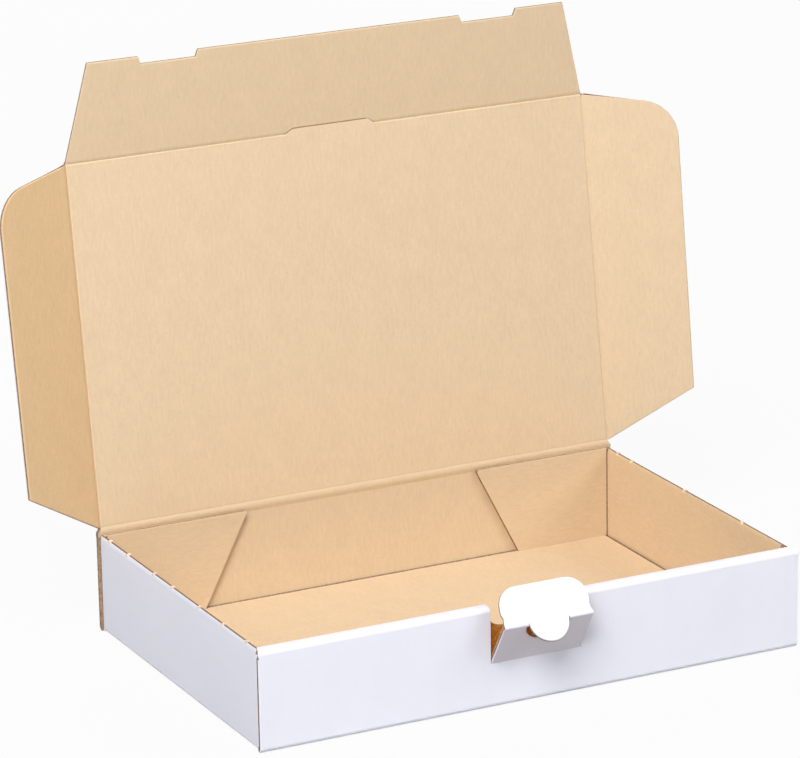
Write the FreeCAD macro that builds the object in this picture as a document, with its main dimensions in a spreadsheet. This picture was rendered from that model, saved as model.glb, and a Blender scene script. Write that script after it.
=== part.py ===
"""Corrugated mailer box: one die-cut board folded into a tray, its lid and its lock tab.

Frame: origin at the centre of the tray's underside, X to the right, Y to the back, Z up.
The sheet "Sizes" holds every driving length in millimetres and every angle in degrees.
Each fold keeps the board's thickness: an open crease is a round bar of that thickness.
"""
import FreeCAD, Part
import os
import re
import Sketcher

SIZES = [
    # board
    ("board", 2.7, "caliper of the corrugated board"),
    ("layer_gap", 0.2, "air between two layers that lie on each other"),
    ("crease_gap", 0.3, "clearance beside a crease that turns"),
    ("cut_gap", 0.3, "width of a die cut"),
    ("bend_radius", 2.4, "outer radius of a right-angled fold"),
    # tray
    ("tray_width", 310, "front and back wall, edge to edge"),
    ("tray_depth", 204, "front face to back face"),
    ("side_height", 53.6, "raw top edge of the side walls"),
    ("front_rise", 0.6, "rolled front wall's top above the side walls"),
    ("edge_reveal", 1.0, "front and back wall stand this far past the side walls"),
    ("roll_taper", 3.2, "each end of the roll is cut back by this over its depth"),
    ("flap_lift", 0.5, "foot of a folded-in flap above the floor"),
    ("front_flap_reach", 72, "side wall's flap inside the front wall"),
    ("front_flap_cut", 6, "cut corners of that flap"),
    ("back_flap_top", 84, "glued back flap along its top edge"),
    ("back_flap_foot", 59, "glued back flap along its foot"),
    ("back_flap_drop", 1.4, "glued back flap's top below the side wall's edge"),
    ("foot_tab_place", 98, "from the middle to a foot tab of the front wall's lining"),
    ("foot_tab_width", 34, "foot tab in its slot in the floor"),
    ("foot_tab_short", 0.4, "foot tab ends this far above the underside"),
    # lock tab and the openings that it leaves
    ("tab_sill", 24.7, "height of the lock tab's crease"),
    ("tab_short", 2.5, "lower panel's upper crease below the front wall's top, if upright"),
    ("tab_lean", 33.0, "lower panel leans out from upright"),
    ("tongue_bend", 66.0, "tongue turned back from the lower panel"),
    ("tongue_width", 50.4, "tongue across its widest place"),
    ("tongue_length", 22.3, "tongue from its crease to its end"),
    ("tongue_corner", 11.0, "round corners of the tongue and of its cut-out"),
    ("waist_cut", 0.7, "depth of the neck on each side of the tongue"),
    ("waist_reach", 5.2, "crease to the neck"),
    ("waist_slope", 1.8, "neck to the tongue's full width"),
    ("nose_radius", 11.2, "thumb nose left on the tongue"),
    ("notch_ease", 0.7, "opening in the front wall past the tongue's edge"),
    ("cutout_drop", 13.5, "tongue-shaped cut-out below the front wall's top"),
    ("slot_ease", 1.3, "lock slot in the lid past the tongue's edge"),
    ("slot_slant", 4.7, "slant of the lip's ends at that slot"),
    ("slot_reach", 2.8, "length of that lip"),
    # lid
    ("hinge_rise", 2.0, "lid's crease above the front wall's top"),
    ("lid_opening", 98.4, "lid turned open from closed"),
    ("lid_short", 8.5, "lid shorter than the tray's depth"),
    ("lid_inset", 1.6, "each ear's crease inside the tray's edge"),
    ("heel_length", 2.2, "full-width foot of the lid"),
    ("heel_slope", 0.8, "slant above that foot"),
    ("ear_bend", 25.3, "ears turned in from the lid"),
    ("ear_short", 2.7, "ear narrower than the side wall's height"),
    ("ear_foot", 26.9, "lid's crease to the foot of an ear's outer edge"),
    ("ear_slant", 11.8, "upper edge of an ear falls by this"),
    ("ear_horn", 2.0, "inner end of that edge past the crease's end"),
    ("ear_corner", 20.0, "round upper corner of an ear"),
    ("tuck_bend", 12.3, "tuck flap turned in from the lid"),
    ("tuck_length", 53.8, "crease to free edge of the tuck flap"),
    ("tuck_taper", 12.9, "tuck flap is narrower by this at each end"),
    ("catch_inset", 41.9, "ear's crease to a notch in the tuck flap's free edge"),
    ("catch_width", 34.3, "length of that notch"),
    ("catch_depth", 4.0, "depth of that notch"),
    ("catch_slope", 1.5, "slant of that notch's ends"),
]

doc = FreeCAD.newDocument("mailer_box")
sheet = doc.addObject("Spreadsheet::Sheet", "Sizes")
for row, (alias, value, note) in enumerate(SIZES, start=1):
    sheet.set(f"A{row}", note)
    sheet.set(f"B{row}", str(value))
    sheet.setAlias(f"B{row}", alias)
doc.recompute()
ALIASES = {alias for alias, value, note in SIZES}

# Places shared by several folds, as formulas on the sheet
HALF_WIDTH = "(tray_width / 2)"
FRONT = "(-tray_depth / 2)"
BACK = "(tray_depth / 2)"
WALL_OUT = "(tray_width / 2 - edge_reveal)"
WALL_IN = f"({WALL_OUT} - board)"
FLAP_FRONT = f"({FRONT} + board + layer_gap)"
FLAP_BACK = f"({BACK} - board - layer_gap)"
LINING_FRONT = f"({FLAP_FRONT} + board + layer_gap)"
LINING_BACK = f"({LINING_FRONT} + board)"
LINING_HALF = f"({WALL_IN} - 2 * layer_gap)"
FRONT_TOP = "(side_height + front_rise)"
ROLL_FOOT = f"({FRONT_TOP} - board)"
FLAP_FOOT = "(board + flap_lift)"
FLAP_TOP = f"({ROLL_FOOT} - crease_gap)"
HINGE = f"({FRONT_TOP} + hinge_rise)"
CREASE_HALF = f"({HALF_WIDTH} - lid_inset)"
LID_LENGTH = "(tray_depth - lid_short)"
EAR_HEIGHT = "(side_height - ear_short)"
TONGUE_HALF = "(tongue_width / 2)"
NOTCH_HALF = f"({TONGUE_HALF} + notch_ease)"
TAB_HEIGHT = f"({FRONT_TOP} - tab_sill - tab_short)"

AXIS_X = FreeCAD.Vector(1, 0, 0)
AXIS_Y = FreeCAD.Vector(0, 1, 0)
SIDES = (("right", "1"), ("left", "-1"))


def cells(formula):
    """Formula with each size written as its cell of the sheet."""
    return re.sub(r"[a-z_]+", lambda word: f"Sizes.{word[0]}" if word[0] in ALIASES else word[0], formula)


def number(formula):
    """Present value of a formula."""
    return float(sheet.evalExpression(cells(formula)))


def new_body(label):
    body = doc.addObject("PartDesign::Body", label)
    body.Label = label
    return body


def new_sketch(body, name, role, shift=None, axis=None, turn=None):
    """Sketch on one of the body's origin planes, moved and turned by formulas."""
    sketch = body.newObject("Sketcher::SketchObject", name)
    plane = next(p for p in body.Origin.OriginFeatures if p.Role == role)
    sketch.AttachmentSupport = [(plane, "")]
    sketch.MapMode = "FlatFace"
    if axis:
        sketch.AttachmentOffset = FreeCAD.Placement(FreeCAD.Vector(), FreeCAD.Rotation(axis, 1))
        sketch.setExpression("AttachmentOffset.Rotation.Angle", cells(turn))
    for coordinate, formula in (shift or {}).items():
        sketch.setExpression(f"AttachmentOffset.Base.{coordinate}", cells(formula))
    return sketch


def pin_point(sketch, geometry, position, x, y):
    """Tie one point of a sketch to formulas for its two coordinates."""
    for kind, formula, axis in (("DistanceX", x, -2), ("DistanceY", y, -1)):
        if formula == "0":
            sketch.addConstraint(Sketcher.Constraint("PointOnObject", geometry, position, axis))
            continue
        rule = Sketcher.Constraint(kind, -1, 1, geometry, position, number(formula))
        index = sketch.addConstraint(rule)
        sketch.setExpression(f"Constraints[{index}]", cells(formula))


def draw_outline(sketch, corners):
    """Closed outline of straight lines; each corner is a pair of formulas."""
    points = [FreeCAD.Vector(number(x), number(y), 0) for x, y in corners]
    first = sketch.GeometryCount
    count = len(points)
    for k in range(count):
        sketch.addGeometry(Part.LineSegment(points[k], points[(k + 1) % count]), False)
    for k in range(count):
        following = first + (k + 1) % count
        sketch.addConstraint(Sketcher.Constraint("Coincident", first + k, 2, following, 1))
    for k, (x, y) in enumerate(corners):
        pin_point(sketch, first + k, 1, x, y)


def draw_box(sketch, x0, x1, y0, y1):
    draw_outline(sketch, [(x0, y0), (x1, y0), (x1, y1), (x0, y1)])


def draw_circle(sketch, x, y, radius):
    centre = FreeCAD.Vector(number(x), number(y), 0)
    circle = sketch.addGeometry(Part.Circle(centre, FreeCAD.Vector(0, 0, 1), number(radius)), False)
    rule = sketch.addConstraint(Sketcher.Constraint("Radius", circle, number(radius)))
    sketch.setExpression(f"Constraints[{rule}]", cells(radius))
    pin_point(sketch, circle, 3, x, y)


def extrude(body, kind, name, sketch, length, side_type):
    """Pad or pocket of a sketch, its length a formula, checked for what it changes."""
    before = body.Shape.Volume if body.Tip else 0.0
    feature = body.newObject(f"PartDesign::{kind}", name)
    feature.Profile = sketch
    feature.SideType = side_type
    feature.setExpression("Length", cells(length))
    feature.Refine = True
    doc.recompute()
    change = body.Shape.Volume - before
    if (change if kind == "Pad" else -change) <= 0:
        raise ValueError(f"{name} changes nothing")


def pad(body, name, sketch, length, side_type="Symmetric"):
    extrude(body, "Pad", name, sketch, length, side_type)


def pocket(body, name, sketch, length, side_type="Symmetric"):
    extrude(body, "Pocket", name, sketch, length, side_type)


def round_edges(body, name, radius, places):
    """Fillet of the edges at places: three formulas for an edge's middle, None along its run."""
    base = body.Tip
    names = set()
    for place in places:
        held = [(axis, number(text)) for axis, text in enumerate(place) if text is not None]
        found = [
            f"Edge{index}"
            for index, edge in enumerate(base.Shape.Edges, start=1)
            if all(abs(edge.CenterOfMass[axis] - value) < 0.01 for axis, value in held)
        ]
        if not found:
            raise ValueError(f"{name} finds no edge at {place}")
        names.update(found)
    feature = body.newObject("PartDesign::Fillet", name)
    feature.Base = (base, sorted(names))
    feature.setExpression("Radius", cells(radius))
    doc.recompute()


def build_floor_and_long_walls(body):
    """Floor, back wall and the front wall that rolls over and comes down again inside."""
    section = new_sketch(body, "sheet_section", "YZ_Plane")
    draw_outline(section, [
        (FRONT, "0"),
        (BACK, "0"),
        (BACK, f"{HINGE} - board / 2 - crease_gap"),
        (f"{BACK} - board", f"{HINGE} - board / 2 - crease_gap"),
        (f"{BACK} - board", "board"),
        (f"{FRONT} + board", "board"),
        (f"{FRONT} + board", ROLL_FOOT),
        (LINING_FRONT, ROLL_FOOT),
        (LINING_FRONT, "board + crease_gap"),
        (LINING_BACK, "board + crease_gap"),
        (LINING_BACK, FRONT_TOP),
        (FRONT, FRONT_TOP),
    ])
    pad(body, "floor_and_long_walls", section, "tray_width")
    round_edges(body, "long_folds", "bend_radius", [
        (None, FRONT, "0"),
        (None, BACK, "0"),
        (None, FRONT, FRONT_TOP),
        (None, LINING_BACK, FRONT_TOP),
    ])

    margins = new_sketch(body, "floor_margins", "XY_Plane")
    for _, side in SIDES:
        draw_box(margins, f"{side} * {WALL_OUT}", f"{side} * ({HALF_WIDTH} + board)",
                 f"{FRONT} + board", f"{BACK} - board")
    pocket(body, "floor_between_side_walls", margins, "2 * board")
    round_edges(body, "side_folds", "bend_radius", [
        (f"{side} * {WALL_OUT}", None, "0") for _, side in SIDES
    ])


def trim_front_wall(body):
    """Ends of the lining and of the roll, and the lining's feet in their floor slots."""
    ends = new_sketch(body, "lining_end_cuts", "XY_Plane", {"z": f"({ROLL_FOOT} + board) / 2"})
    roll = new_sketch(body, "roll_end_cuts", "XY_Plane", {"z": FRONT_TOP})
    slots = new_sketch(body, "foot_slots", "XY_Plane")
    feet = new_sketch(body, "foot_tabs", "XY_Plane", {"z": "foot_tab_short"})
    for _, side in SIDES:
        draw_box(ends, f"{side} * {LINING_HALF}", f"{side} * ({HALF_WIDTH} + board)",
                 f"{FRONT} + board", f"{LINING_BACK} + layer_gap")
        draw_outline(roll, [
            (f"{side} * {HALF_WIDTH}", FRONT),
            (f"{side} * ({HALF_WIDTH} + board)", FRONT),
            (f"{side} * ({HALF_WIDTH} + board)", LINING_BACK),
            (f"{side} * ({HALF_WIDTH} - roll_taper)", LINING_BACK),
        ])
        foot_inner = f"{side} * (foot_tab_place - foot_tab_width / 2"
        foot_outer = f"{side} * (foot_tab_place + foot_tab_width / 2"
        draw_box(slots, f"{foot_inner} - cut_gap)", f"{foot_outer} + cut_gap)",
                 f"{LINING_FRONT} - cut_gap", f"{LINING_BACK} + cut_gap")
        draw_box(feet, f"{foot_inner})", f"{foot_outer})", LINING_FRONT, LINING_BACK)
    pocket(body, "lining_ends", ends, f"{ROLL_FOOT} - board")
    pocket(body, "roll_ends", roll, "2 * board")
    pocket(body, "foot_slots_cut", slots, "2 * board")
    pad(body, "foot_tabs_down", feet, "2 * board", "One side")


def build_side_walls(body):
    """Side walls with one flap inside the front wall and one glued to the back wall."""
    tall_start = f"({LINING_BACK} + crease_gap)"
    tall = new_sketch(body, "side_wall_plan", "XY_Plane", {"z": "bend_radius"})
    low = new_sketch(body, "side_wall_under_roll_plan", "XY_Plane", {"z": "bend_radius"})
    front = new_sketch(body, "front_flap_face", "XZ_Plane", {"z": f"-({FLAP_FRONT} + board / 2)"})
    back = new_sketch(body, "back_flap_face", "XZ_Plane", {"z": f"-({FLAP_BACK} - board / 2)"})
    tip = f"({WALL_OUT} - front_flap_reach)"
    glued_top = "side_height - back_flap_drop"
    for _, side in SIDES:
        draw_box(tall, f"{side} * {WALL_IN}", f"{side} * {WALL_OUT}", tall_start, FLAP_BACK)
        draw_box(low, f"{side} * {WALL_IN}", f"{side} * {WALL_OUT}", FLAP_FRONT, tall_start)
        draw_outline(front, [
            (f"{side} * {WALL_OUT}", FLAP_FOOT),
            (f"{side} * {WALL_OUT}", FLAP_TOP),
            (f"{side} * ({tip} + front_flap_cut)", FLAP_TOP),
            (f"{side} * {tip}", f"{FLAP_TOP} - front_flap_cut"),
            (f"{side} * {tip}", f"{FLAP_FOOT} + front_flap_cut"),
            (f"{side} * ({tip} + front_flap_cut)", FLAP_FOOT),
        ])
        draw_outline(back, [
            (f"{side} * {WALL_OUT}", FLAP_FOOT),
            (f"{side} * {WALL_OUT}", glued_top),
            (f"{side} * ({WALL_OUT} - back_flap_top)", glued_top),
            (f"{side} * ({WALL_OUT} - back_flap_foot)", FLAP_FOOT),
        ])
    pad(body, "side_walls", tall, "side_height - bend_radius", "One side")
    pad(body, "side_walls_under_roll", low, f"{FLAP_TOP} - bend_radius", "One side")
    pad(body, "front_flaps", front, "board")
    pad(body, "back_flaps", back, "board")
    round_edges(body, "upright_folds", "bend_radius", [
        (f"{side} * {WALL_OUT}", place, None) for _, side in SIDES for place in (FLAP_FRONT, FLAP_BACK)
    ])

    # The wall's top edge runs on beside the tapered end of the roll
    wedge = new_sketch(body, "wall_top_wedge_plan", "XY_Plane", {"z": FLAP_TOP})
    wedge_start = f"({FLAP_FRONT} + bend_radius)"
    taper = f"(roll_taper / ({LINING_BACK} - {FRONT}))"
    wedge_tip = f"({HALF_WIDTH} - ({wedge_start} - crease_gap - {FRONT}) * {taper})"
    for _, side in SIDES:
        draw_outline(wedge, [
            (f"{side} * ({HALF_WIDTH} - roll_taper)", tall_start),
            (f"{side} * {wedge_tip}", wedge_start),
            (f"{side} * {WALL_OUT}", wedge_start),
            (f"{side} * {WALL_OUT}", tall_start),
        ])
    pad(body, "side_wall_wedges", wedge, f"side_height - {FLAP_TOP}", "One side")


def cut_lock_openings(body):
    """Opening that the lock tab leaves, and the cut-out in the lining behind it."""
    notch = new_sketch(body, "tab_notch", "XZ_Plane", {"z": f"-{FRONT}"})
    draw_box(notch, f"-{NOTCH_HALF}", NOTCH_HALF, "tab_sill - board / 2 - crease_gap",
             f"{FRONT_TOP} + board")
    pocket(body, "tab_opening", notch, f"2 * ({LINING_FRONT} - {FRONT})")

    cutout_half = f"({TONGUE_HALF} + cut_gap)"
    cutout_foot = f"({FRONT_TOP} - cutout_drop)"
    cutout = new_sketch(body, "tongue_cutout", "XZ_Plane", {"z": f"-({LINING_FRONT} + board / 2)"})
    draw_box(cutout, f"-{cutout_half}", cutout_half, cutout_foot, f"{FRONT_TOP} + board")
    pocket(body, "tongue_opening", cutout, "2 * board")
    round_edges(body, "cutout_corners", "tongue_corner", [
        (f"{side} * {cutout_half}", None, cutout_foot) for _, side in SIDES
    ])


def build_tray():
    body = new_body("tray")
    build_floor_and_long_walls(body)
    trim_front_wall(body)
    build_side_walls(body)
    cut_lock_openings(body)
    return body


def build_tuck_flap(body):
    """Tuck flap with its two notches, its crease, and the lock slot cut through them."""
    notch_outer = f"({CREASE_HALF} - catch_inset)"
    notch_inner = f"({notch_outer} - catch_width)"
    notch_foot = "(tuck_length - catch_depth)"
    half = [
        (CREASE_HALF, "0"),
        (f"{CREASE_HALF} - tuck_taper", "tuck_length"),
        (notch_outer, "tuck_length"),
        (f"{notch_outer} - catch_slope", notch_foot),
        (f"{notch_inner} + catch_slope", notch_foot),
        (notch_inner, "tuck_length"),
    ]
    mirrored = [(f"-({x})", y) for x, y in reversed(half)]
    flap = new_sketch(body, "tuck_outline", "XY_Plane", {"y": LID_LENGTH}, AXIS_X, "tuck_bend")
    draw_outline(flap, half + mirrored)
    pad(body, "tuck_flap", flap, "board")

    crease = new_sketch(body, "tuck_crease_end", "YZ_Plane")
    draw_circle(crease, LID_LENGTH, "0", "board / 2")
    pad(body, "tuck_crease", crease, f"2 * {CREASE_HALF}")

    root_half = f"({TONGUE_HALF} + slot_ease + cut_gap)"
    tip_half = f"({root_half} - slot_slant)"
    slot = new_sketch(body, "slot_outline", "XY_Plane", {"y": LID_LENGTH}, AXIS_X, "tuck_bend")
    draw_outline(slot, [
        (f"-{root_half}", "-board"),
        (root_half, "-board"),
        (root_half, "0"),
        (tip_half, "slot_reach + cut_gap"),
        (f"-{tip_half}", "slot_reach + cut_gap"),
        (f"-{root_half}", "0"),
    ])
    pocket(body, "lock_slot", slot, "3 * board")


def build_lid_panel(body):
    """Lid panel with its flared heel, the lip at the lock slot and the crease on the tray."""
    heel_top = "heel_length + heel_slope"
    lip_half = f"({TONGUE_HALF} + slot_ease)"
    half = [
        (HALF_WIDTH, "0"),
        (HALF_WIDTH, "heel_length"),
        (CREASE_HALF, heel_top),
        (CREASE_HALF, LID_LENGTH),
        (lip_half, LID_LENGTH),
        (f"{lip_half} - slot_slant", f"{LID_LENGTH} + slot_reach"),
    ]
    mirrored = [(f"-({x})", y) for x, y in reversed(half)]
    panel = new_sketch(body, "panel_outline", "XY_Plane")
    draw_outline(panel, half + mirrored)
    pad(body, "lid_panel", panel, "board")

    crease = new_sketch(body, "hinge_crease_end", "YZ_Plane")
    draw_circle(crease, "0", "0", "board / 2")
    pad(body, "hinge_crease", crease, "tray_width")


def build_ears(body):
    """Two ears with slanted ends and one round corner each, turned in on their creases."""
    heel_top = "(heel_length + heel_slope)"
    crease = new_sketch(body, "ear_crease_ends", "XZ_Plane", {"z": f"-({heel_top} + {LID_LENGTH}) / 2"})
    for _, side in SIDES:
        draw_circle(crease, f"{side} * {CREASE_HALF}", "0", "board / 2")
    pad(body, "ear_creases", crease, f"{LID_LENGTH} - {heel_top}")

    for word, side in SIDES:
        ear = new_sketch(body, f"{word}_ear_outline", "XY_Plane", {"x": f"{side} * {CREASE_HALF}"},
                         AXIS_Y, f"-{side} * ear_bend")
        draw_outline(ear, [
            ("0", heel_top),
            (f"{side} * {EAR_HEIGHT}", "ear_foot"),
            (f"{side} * {EAR_HEIGHT}", f"{LID_LENGTH} - ear_slant"),
            (f"{side} * ear_horn", f"{LID_LENGTH} + ear_horn"),
            ("0", LID_LENGTH),
        ])
        pad(body, f"{word}_ear", ear, "board")
    reach = f"({CREASE_HALF} + {EAR_HEIGHT} * cos(ear_bend * 1deg))"
    rise = f"{EAR_HEIGHT} * sin(ear_bend * 1deg)"
    round_edges(body, "ear_corners", "ear_corner", [
        (f"{side} * {reach}", f"{LID_LENGTH} - ear_slant", rise) for _, side in SIDES
    ])


def build_lid():
    """Lid, drawn flat along Y from its crease and then stood up at its opening angle."""
    body = new_body("lid")
    build_tuck_flap(body)
    build_lid_panel(body)
    build_ears(body)
    body.Placement = FreeCAD.Placement(FreeCAD.Vector(), FreeCAD.Rotation(AXIS_X, 1))
    body.setExpression("Placement.Rotation.Angle", cells("180 - lid_opening"))
    body.setExpression("Placement.Base.y", cells(f"{BACK} - board / 2"))
    body.setExpression("Placement.Base.z", cells(HINGE))
    return body


def build_lock_tab():
    """Lock tab, drawn along Y from its crease: lower panel, then tongue and nose as one."""
    body = new_body("lock_tab")
    half = f"({NOTCH_HALF} - cut_gap)"
    panel = new_sketch(body, "tab_panel_outline", "XY_Plane")
    draw_box(panel, f"-{half}", half, "0", TAB_HEIGHT)
    pad(body, "tab_panel", panel, "board")

    window = new_sketch(body, "nose_window", "XY_Plane")
    draw_circle(window, "0", TAB_HEIGHT, "nose_radius + cut_gap")
    pocket(body, "nose_cut", window, "2 * board")

    creases = new_sketch(body, "tab_crease_ends", "YZ_Plane")
    draw_circle(creases, "0", "0", "board / 2")
    draw_circle(creases, TAB_HEIGHT, "0", "board / 2")
    pad(body, "tab_creases", creases, f"2 * {half}")

    tongue = new_sketch(body, "tongue_outline", "XY_Plane", {"y": TAB_HEIGHT}, AXIS_X, "-tongue_bend")
    half_tongue = [
        (TONGUE_HALF, "0"),
        (f"{TONGUE_HALF} - waist_cut", "waist_reach"),
        (TONGUE_HALF, "waist_reach + waist_slope"),
        (TONGUE_HALF, "tongue_length"),
    ]
    mirrored = [(f"-({x})", y) for x, y in reversed(half_tongue)]
    draw_outline(tongue, half_tongue + mirrored)
    pad(body, "tongue", tongue, "board")
    tip_y = f"{TAB_HEIGHT} + tongue_length * cos(tongue_bend * 1deg)"
    tip_z = "-tongue_length * sin(tongue_bend * 1deg)"
    round_edges(body, "tongue_corners", "tongue_corner", [
        (f"{side} * {TONGUE_HALF}", tip_y, tip_z) for _, side in SIDES
    ])

    nose = new_sketch(body, "nose_outline", "XY_Plane", {"y": TAB_HEIGHT}, AXIS_X, "-tongue_bend")
    draw_circle(nose, "0", "0", "nose_radius")
    pad(body, "nose", nose, "board")

    body.Placement = FreeCAD.Placement(FreeCAD.Vector(), FreeCAD.Rotation(AXIS_X, 1))
    body.setExpression("Placement.Rotation.Angle", cells("90 + tab_lean"))
    body.setExpression("Placement.Base.y", cells(f"{FRONT} + board / 2"))
    body.setExpression("Placement.Base.z", cells("tab_sill"))
    return body


bodies = [build_tray(), build_lid(), build_lock_tab()]
doc.recompute()

for item in doc.Objects:
    if {"Invalid", "Error"} & set(item.State):
        raise RuntimeError(f"{item.Label} is {item.State}")
for body in bodies:
    if body.Shape.isNull() or not body.Shape.isValid() or len(body.Shape.Solids) != 1:
        raise RuntimeError(f"{body.Label} isn't one valid solid")

os.makedirs("parts", exist_ok=True)
for body in bodies:
    body.Shape.exportStep(f"parts/{body.Label}.step")
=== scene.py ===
"""Corrugated mailer box, standing open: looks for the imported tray, lid and lock tab."""
import math
import random
import bpy
from bpy.props import FloatProperty, FloatVectorProperty, PointerProperty
from mathutils import Matrix, Vector


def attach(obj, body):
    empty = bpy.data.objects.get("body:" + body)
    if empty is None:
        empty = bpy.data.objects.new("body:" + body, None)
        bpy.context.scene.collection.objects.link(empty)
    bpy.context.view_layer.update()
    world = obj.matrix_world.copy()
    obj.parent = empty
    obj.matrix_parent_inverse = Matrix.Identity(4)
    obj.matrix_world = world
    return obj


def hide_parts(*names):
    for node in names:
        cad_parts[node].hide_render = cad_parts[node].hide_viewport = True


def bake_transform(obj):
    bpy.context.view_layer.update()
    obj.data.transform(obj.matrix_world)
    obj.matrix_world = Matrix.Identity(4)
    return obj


bl_info = {
    "name": "Corrugated mailer box",
    "version": (1, 0, 0),
    "blender": (4, 5, 0),
    "location": "View3D > Sidebar > Mailer box",
    "description": "Folds a mailer box out of fluted board around its packed frame",
    "category": "Add Mesh",
}

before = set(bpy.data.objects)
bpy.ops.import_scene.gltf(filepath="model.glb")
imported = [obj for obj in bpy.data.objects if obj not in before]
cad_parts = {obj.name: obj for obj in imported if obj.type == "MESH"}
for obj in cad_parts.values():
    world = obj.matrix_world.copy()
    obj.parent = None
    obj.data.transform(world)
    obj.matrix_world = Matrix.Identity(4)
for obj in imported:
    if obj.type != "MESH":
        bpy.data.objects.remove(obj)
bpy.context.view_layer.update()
MM = 0.001

# Places of the folded sheet, in millimetres: x from the middle, y towards the back, z up
HALF_WIDTH = 155.0
FRONT = -102.0
BACK = 102.0
WALL_OUT = 154.0
WALL_IN = 151.3
WALL_MIDDLE = 152.65
SIDE_TOP = 53.6
TAPER_FOOT = 51.4
FRONT_TOP = 54.2
ROLL_FOOT = 51.5
LINING_FRONT = -96.2
LINING_BACK = -93.5
LINING_HALF = 150.9
FLAP_FRONT = -99.1
FLAP_BACK = 99.1
FRONT_FLAP_END = 82
BACK_FLAP_END = 70
FRONT_FLAP_TOP = 51.2
FLAP_TOP = 54.1
FLOOR_TOP = 2.75
SIDE_GROOVE = (149.9, 152)
BACK_GROOVE_HALF = 95
FOOT_TAB = (81, 115)
FOOT_SLOT = (80.7, 115.3)
NOTCH_HALF = 25.9
NOTCH_FOOT = 24.0
HINGE = Vector((0, 100.65, 56.2))
TAB_FOOT = Vector((0, -100.65, 24.7))

# Flat panels of the lid and of the lock tab, in millimetres along the sheet, and their bends
LID_LEAN = 81.6
LID_LENGTH = 195.5
CREASE_HALF = 153.4
EAR_WIDTH = 50.9
EAR_BEND = 25.3
TUCK_BEND = 12.3
TUCK_LENGTH = 53.8
TUCK_TAPER = 12.9
TUCK_NOTCH = ((111.5, 0), (110.0, 4), (78.7, 4), (77.2, 0))
LOCK_SLOT = ((26.8, 0), (22.1, 3.1), (-22.1, 3.1), (-26.8, 0))
LIP_BEND = 26.5
TAB_LEAN = 33.0
TAB_HEIGHT = 27.0
TAB_HALF = 25.6
TONGUE_BEND = 66.0
WINDOW = 12.6
NOSE = 11.2

# Radii of the folds, in millimetres: on the white side, then on the kraft side
FOLD = 2.8
SHARP_FOLD = 1.2
INNER_ROLL = 0.5
INNER_FOLD = 0.4

# How far the two liners are pressed in along a cut edge, in millimetres
HARD_PRESS = 0.8
TAB_PRESS = 0.7
SOFT_PRESS = 0.3
# How much of its thickness a side wall keeps at its top
TAPER = 0.45

# Fluted paper: how deep in the board it lies and the step along its wave, in millimetres
HALF_BOARD = 1.35
FLUTE_STEP = 0.8
# Its thickness, where a liner's is 1
FLUTE_PAPER = 0.7

# Kraft side along a crease: how far from the crease, and how far the paper is lifted there
BEAD = ((0.0, -0.7), (0.6, 0.02), (1.1, 0.15), (1.7, 0.09), (2.4, 0.0))
PRESS = ((0.0, -0.5), (1.1, -0.12), (2.2, 0.0))

# Little bridges of the die, torn off along the tops of the side walls, and the form of each
LEFT_TEARS = (88, 64, 30, 7, -27, -56, -84)
RIGHT_TEARS = (86, 70, 12, -49)
TEAR = ((-1.1, -1), (0.1, -1), (1.15, -0.8), (1.2, 0.7), (0.0, 1), (-1.2, 0.8))

# Ends of the cutters, outside the box, in millimetres
FAR = 160
BELOW = -1
ABOVE = 60
# Distances in millimetres below which two places are taken as one: loosely, strictly
CLOSE = 0.1
SAME = 0.02
# Corners closer than this, in metres, are merged
MERGE = 0.00001
# Edges that turn by less, in degrees, are smooth
SMOOTH = 32

# Lamps: name, direction from the front, height angle, watts
LAMPS = (("key", -40, 50, 62), ("side", -60, 35, 16), ("fill", 50, 35, 23), ("back", 165, 35, 30))
LAMP_SIZE = 1.4
LAMP_DISTANCE = 2.6
LAMP_AIM = Vector((0, 0, 0.1))
# Camera: direction from the front, height angle and roll in degrees, distance in metres,
# then the point that it looks at and its focal length, both in millimetres
CAMERA_TURN = (-26.26, 17.20, -1.05)
CAMERA_DISTANCE = 2.3829
CAMERA_AIM = Vector((-19.2, 9.8, 143.8))
CAMERA_LENS = 206.45
# Floor: radius and depth below the box in metres, and how white the camera sees it
FLOOR_RADIUS = 4.0
FLOOR_DROP = 0.0003
FLOOR_WHITE = 0.94
# How strongly the world lights the box
WORLD_LIGHT = 0.02

PAPERS = ("white_liner", "kraft_liner", "cut_edge", "flute_inside_painted_shade", "torn_fibre", "kraft_shade",
          "crushed_edge_painted_shade", "ear_kraft_painted_shade", "tab_white_painted_shade")
WHITE, KRAFT, RAW, FLUTE_SHADE, TORN, SHADE, EDGE_SHADE, EAR_SHADE, TAB_SHADE = range(len(PAPERS))


class MailerSizes(bpy.types.PropertyGroup):
    """Sizes of the board that the box is folded from."""

    board: FloatProperty(
        name="Board", description="Caliper of the corrugated board",
        default=0.0027, unit="LENGTH")
    liner: FloatProperty(
        name="Liner", description="Thickness of each of the two flat papers",
        default=0.00025, unit="LENGTH")
    pitch: FloatProperty(
        name="Flute pitch", description="From one flute to the next",
        default=0.0064, unit="LENGTH")
    depth: FloatProperty(
        name="Edge depth", description="How far one sees into the flutes",
        default=0.0007, unit="LENGTH")


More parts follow.
